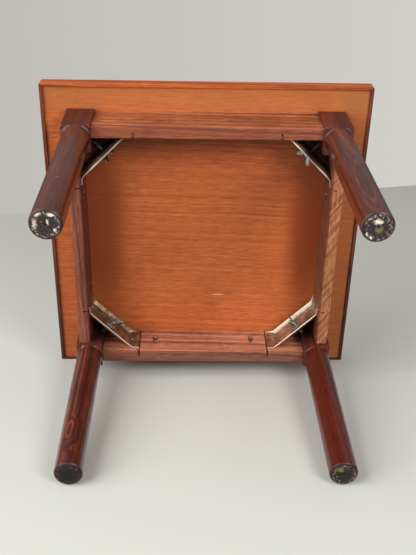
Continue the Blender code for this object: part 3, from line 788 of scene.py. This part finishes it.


# Underside and top face: sliced teak veneer, oiled, with painted shade beside the side
# rails, near-black painted shade in the front corners and more golden along two margins
well_shade = "8A3C18"
veneer = timber(
    "sliced_teak_veneer", "X", ("94461F", "AE582B", "BE6333", "D2783F"), (0, 0.9, 0.75),
    0.0011, 0.008, fibre=0.45,
    marks=(
        # Painted shade beside the left and right rails
        ((-0.205, -0.04, UNDERSIDE), (0.070, 0.28, 0.01), well_shade, 0.8, 0),
        ((0.205, -0.02, UNDERSIDE), (0.062, 0.27, 0.01), well_shade, 0.9, 0),
        # Near-black painted shade in the two front corners
        ((-0.208, -0.208, UNDERSIDE), (0.052, 0.052, 0.01), "160704", 0.9, 0),
        ((0.208, -0.208, UNDERSIDE), (0.052, 0.052, 0.01), "160704", 0.9, 0),
        ((0, -0.275, UNDERSIDE), (9, 0.040, 0.01), "9E6234", 0.5, 0),
        ((0.275, 0, UNDERSIDE), (0.040, 9, 0.01), "9C6034", 0.45, 0),
        (DARK_DOT, (0.0022, 0.0022, 0.002), "2A1208", 0.9, 0),
        (SCRATCH, (0.017, 0.0016, 0.002), "F0E2D0", 0.55, 0),
    ),
)
# Rails: plain-sawn solid teak with strong parallel layers, planed and oiled, with painted shade
# on the inner faces or lower edges and near-black painted shade where two rails meet
rail_finishes = {
    "front": timber(
        "sawn_teak_front", "X", ("30120A", "74391F", "A05B37", "C07A4C"), (0, 0.3, -0.2),
        0.0013, 0.006, fibre=0.35,
        marks=(
            # Painted shade along the lower edge
            ((0, -RAIL_INNER, RAIL_BOTTOM), (9, 9, 0.005), "86483A", 0.45, 0),
            corner_shade(-RAIL_INNER, -RAIL_INNER), corner_shade(RAIL_INNER, -RAIL_INNER),
        ),
    ),
    "right": timber(
        "sawn_teak_right", "Y", ("3A1A12", "965A3A", "AE704C", "C68A60"), (-0.3, 0, 0.2),
        0.0014, 0.006, lean=0.7,
        marks=(
            # Painted shade on the inner face
            ((RAIL_INNER, 0, UNDERSIDE), (0.004, 9, 9), "40160C", 0.7, 0),
            corner_shade(RAIL_INNER, -RAIL_INNER), corner_shade(RAIL_INNER, RAIL_INNER),
        ),
    ),
    "back": timber(
        "sawn_teak_back", "X", ("45201A", "925440", "BC7A5C", "D49270"), (0, 0.6, -0.2),
        0.0016, 0.004, fibre=0.25,
        marks=(
            # Painted shade along the lower edge
            ((0, RAIL_INNER, RAIL_BOTTOM), (9, 9, 0.005), "43180F", 0.6, 0),
            corner_shade(-RAIL_INNER, RAIL_INNER), corner_shade(RAIL_INNER, RAIL_INNER),
        ),
    ),
    "left": timber(
        "sawn_teak_left", "Y", ("3A1A14", "6A382A", "7E4736", "925842"), (0.3, 0, 0.1),
        0.0020, 0.006,
        marks=(
            # Painted shade on the inner face
            ((-RAIL_INNER, 0, UNDERSIDE), (0.004, 9, 9), "3A160E", 0.6, 0),
            corner_shade(-RAIL_INNER, -RAIL_INNER), corner_shade(-RAIL_INNER, RAIL_INNER),
        ),
    ),
}
# Edge strips: solid teak, the front one a lighter copy as painted light,
# the others a darker copy as painted shade
shaded_strip_tones = ("2A100A", "4A2014", "6A3220", "8A4A2E")
strip_finishes = {
    "front": timber(
        "lit_teak_strip", "X", ("6E2A0C", "964016", "AC521E", "C0642A"), (0, 0, 0.2),
        0.0015, 0.003,
    ),
    "right": timber("teak_strip_along_y", "Y", shaded_strip_tones, (0, 0, 0.2), 0.0015, 0.003),
    "back": timber("teak_strip_along_x", "X", shaded_strip_tones, (0, 0, 0.2), 0.0015, 0.003),
}
strip_finishes["left"] = strip_finishes["right"]
# Legs: dark rosewood, each from its own blank, its shaft turned and rubbed to a
# sheen, its square head planed and left duller, with near-black painted shade inside the corner.
# A blank has its tones, pith, layer, waver, coat and fibre, then bends and marks
blanks = {
    "front_left": (
        ("2C1009", "44170C", "541D11", "702D1A"), (-0.200, -0.245, 0), 0.0009, 0.006, 0.65, 0.35,
        (), ((NICK, (0.005, 0.003, 0.0016), "B05A34", 0.7, 0),),
    ),
    "front_right": (
        ("240C07", "3E150B", "521D11", "76321E"), (0.215, -0.175, 0), 0.0010, 0.009, 0.65, 0.35,
        ((ARCHES, (0.016, 0.016, 0.110), "", 0, 0.016),), (),
    ),
    "back_right": (
        ("220803", "400F07", "521407", "6A200C"), (0.170, 0.215, 0), 0.0014, 0.005, 0.25, 0.30,
        ((KNOT, (0.010, 0.010, 0.020), "", 0, 0.006),),
        ((KNOT, (0.004, 0.004, 0.007), "160806", 0.85, 0),),
    ),
    "back_left": (
        ("120604", "300C07", "4C160C", "8C4024"), (-0.180, 0.215, 0), 0.0014, 0.006, 0.25, 0.20,
        (
            (SWIRL, (0.018, 0.018, 0.050), "", 0, 0.014),
            (SWIRL_FOOT, (0.014, 0.014, 0.024), "", 0, -0.010),
        ),
        (),
    ),
}
head_tones = ("260B06", "471509", "561D0D", "6A2614")
foot_shade = ((0, 0, 0), (9, 9, 0.0037), "2E2224", 0.9, 0)
shafts, heads = {}, {}
for corner, (tones, pith, layer, waver, coat, fibre, bends, marks) in blanks.items():
    shafts[corner] = timber(
        f"turned_rosewood_{corner}", "Z", tones, pith, layer, waver, sheen=0.36, coat=coat,
        fibre=fibre, bends=bends, marks=(*marks, foot_shade),
    )
    heads[corner] = timber(
        f"planed_rosewood_{corner}", "Z", head_tones, pith, layer, waver, sheen=0.55,
        marks=(
            # Near-black painted shade on the head's faces inside the corner
            (
                (math.copysign(0.203, pith[0]), math.copysign(0.203, pith[1]), BOLT_HEIGHT),
                (0.030, 0.030, 0.060), "0C0504", 0.9, 0,
            ),
        ),
    )
foot_ends = end_grain("scuffed_end_grain", [(*mark, 0) for mark in FOOT_MARKS])
# Brackets: rolled mild steel, pressed and thinly plated, brownish, in three copies of one
# finish, the back right one lit, the back left one and the front two darker as painted
# shade, with painted highlights along their edges
low_edge, high_edge = BOLT_HEIGHT - BRACKET_HALF, BOLT_HEIGHT + BRACKET_HALF
# Painted highlights: a cream line along the brackets' low edge and a cream band along the high edge
low_edge_painted_highlight = ((0, 0, low_edge), (9, 9, 0.0024), "FFF6E6", 0.9, 0)
high_edge_painted_highlight = ((0, 0, high_edge), (9, 9, 0.0060), "FFF0DC", 0.7, 0)
lit_bracket_steel = plated_steel(
    "lit_rolled_steel", ("78644F", "A48C74", "D8C4AA"), 0.37, 0.02, 0.9,
    (low_edge_painted_highlight, high_edge_painted_highlight),
)
# A browner, darker copy as painted shade, with only the low painted highlight
shaded_bracket_steel = plated_steel(
    "shaded_rolled_steel", ("6A5442", "90775F", "BCA488"), 0.42, 0.02, 0.85, (low_edge_painted_highlight,)
)
# The darkest copy as painted shade, with a thinner painted highlight along the low edge
deep_shaded_bracket_steel = plated_steel(
    "deep_shaded_rolled_steel", ("43362A", "62503F", "84705A"), 0.44, 0.02, 0.85,
    (((0, 0, low_edge), (9, 9, 0.0013), "FFF6E6", 0.9, 0),),
)
bracket_finishes = {
    "front_right": deep_shaded_bracket_steel, "back_right": lit_bracket_steel,
    "back_left": shaded_bracket_steel, "front_left": deep_shaded_bracket_steel,
}
# Bolts, washers and wing nuts: dull grey zinc
bolt_steel = plated_steel("threaded_steel", ("5C5A56", "8E8C87", "B4B2AC"), 0.38, 0.006)
zinc = plated_steel("dull_zinc_plate", ("76726A", "B4AFA6", "E6E1D8"), 0.22, 0.005)
washer_zinc = plated_steel("tarnished_zinc_plate", ("5E5850", "8C857A", "B8B0A4"), 0.44, 0.005, 0.6)
# Screws: bright zinc
screw_zinc = plated_steel("bright_zinc_plate", ("8A8880", "C4C2BA", "EAE8E2"), 0.24, 0.004)

for name, node in frame["nodes"].items():
    if name == "top_panel":
        node.data.materials[0] = veneer
    elif name.startswith("rail_"):
        node.data.materials[0] = rail_finishes[name.removeprefix("rail_")]
    elif name.startswith("lipping_"):
        node.data.materials[0] = strip_finishes[name.removeprefix("lipping_")]

for place, corner in enumerate(CORNERS):
    mesh = mesh_of("leg", [leg_surface(place)])
    fit_piece(f"turned_leg_{corner}", mesh, shafts[corner], f"leg_{corner}")
    mesh.materials.append(foot_ends)
    mesh.materials.append(heads[corner])
    # The foot's flat end and the head's flat sides have finishes of their own
    for face in mesh.polygons:
        foot = face.center.z < 0.00004 and face.normal.z < -0.9
        head = face.center.z > 0.32 and max(abs(face.normal.x), abs(face.normal.y)) > 0.9999
        face.material_index = 1 if foot else 2 if head else 0
    fit_piece(
        f"pressed_bracket_{corner}", bracket_mesh(place), bracket_finishes[corner],
        f"bracket_{corner}",
    )
    bolt = placed(bolt_surface(), *bolt_frame(place))
    fit_piece(
        f"threaded_bolt_{corner}", mesh_of("bolt", [bolt]), bolt_steel,
        f"hanger_bolt_{corner}",
    )
    ring = placed(washer_surface(), *bolt_frame(place))
    fit_piece(
        f"stamped_washer_{corner}", mesh_of("washer", [ring]), washer_zinc,
        f"washer_{corner}",
    )
    turned = bolt_frame(place, math.radians(NUT_TURNS[place]))
    nut = mesh_of("nut", [placed(grid, *turned) for grid in nut_grids()])
    nut.set_sharp_from_angle(angle=math.radians(50))
    fit_piece(f"winged_nut_{corner}", nut, zinc, f"wing_nut_{corner}")

for place, side in enumerate(SIDES):
    for hand, end in ((-1, SIDES[place - 1]), (1, SIDES[(place + 1) % 4])):
        lift = GAP + SHEET + GAP - RAIL_INNER
        slot_turn = 0.9 * place + 1.7 * hand
        tab = side_frame(place, hand * (RAIL_INNER - TAB_SCREW_PLACE), lift, BOLT_HEIGHT, math.pi / 2)
        pocket = side_frame(
            place, hand * (RAIL_INNER - TOP_SCREW_PLACE), -RAIL_INNER - POCKET_DEPTH,
            UNDERSIDE - POCKET_DROP, POCKET_SLANT,
        )
        for name, node, size, turn, spot in (
            ("slotted_screw", "tab_screw", TAB_SCREW, slot_turn, tab),
            ("pocket_screw", "top_screw", TOP_SCREW, slot_turn + 1, pocket),
        ):
            mesh = mesh_of("screw", [placed(screw_surface(*size, turn), *spot)])
            mesh.set_sharp_from_angle(angle=math.radians(35))
            fit_piece(
                f"{name}_{side}_{end}", mesh, screw_zinc, f"{node}_{side}_{end}"
            )

# The floor the table lies on, its far edge slanting as in the photograph, and the
# one it stands on, seen only from above
pale = one_sided("pale_floor_paint", "BEBFB9", 0.6)
floor_board(
    "studio_floor",
    [on_floor(-3, -1.2), on_floor(3, -1.2), on_floor(3, 2.264), on_floor(-3, 0.732)], pale,
)
floor_board(
    "standing_floor",
    [(-4, -4, -0.0005), (4, -4, -0.0005), (4, 4, -0.0005), (-4, 4, -0.0005)], pale,
)

camera_data = bpy.data.cameras.new("camera")
camera_data.sensor_width = SENSOR
camera_data.lens = FOCAL * SENSOR / PHOTO_HEIGHT
camera = bpy.data.objects.new("camera", camera_data)
camera_pose = Matrix((RIGHT, -DOWN, -AHEAD)).transposed().to_4x4()
camera_pose.translation = EYE
camera.matrix_world = camera_pose
bpy.context.scene.collection.objects.link(camera)
bpy.context.scene.camera = camera

# Lights: each one's place, its size in metres and its power in watts
soft_box("left_window", (-2.45, -1.85, -0.85), 2.9, 154)
soft_box("right_window", (1.15, -1.40, -1.25), 0.8, 33)
soft_box("left_lamp", (-1.7, -0.5, -1.2), 0.9, 10)
soft_box("rear_window", (1.0, 1.9, 2.1), 1.8, 70)
soft_box("room_fill", (0.3, -0.8, -2.3), 2.4, 6)

# The room: pale walls, a little brighter to the right, and a bright ceiling
world = bpy.data.worlds.new("studio")
world.use_nodes = True
room = world.node_tree
heading = add(room, "SeparateXYZ", {0: add(room, "TexCoord", {}).outputs["Generated"]})
rightward = add(
    room, "MapRange", {"Value": heading.outputs["X"], "From Min": -0.26, "From Max": 0.28}
)
wall = add(
    room, "Mix", {0: rightward.outputs[0], 6: linear("BEBBB4"), 7: linear("D2CFCA")},
    data_type="RGBA",
)
ceiling = add(
    room, "MapRange",
    {
        "Value": heading.outputs["Y"], "From Min": 0.5, "From Max": -0.9,
        "To Min": 0.03, "To Max": 0.80,
    },
)
seen = add(room, "LightPath", {})
glow = add(
    room, "Mix", {0: seen.outputs["Is Camera Ray"], 6: linear("C8C6C2"), 7: wall.outputs[2]},
    data_type="RGBA",
)
strength = add(
    room, "Mix", {0: seen.outputs["Is Camera Ray"], 2: ceiling.outputs[0], 3: 1.0},
    data_type="FLOAT",
)
backdrop = room.nodes["Background"]
room.links.new(glow.outputs[2], backdrop.inputs[0])
room.links.new(strength.outputs[0], backdrop.inputs[1])
bpy.context.scene.world = world
bpy.context.scene.view_settings.view_transform = "Standard"
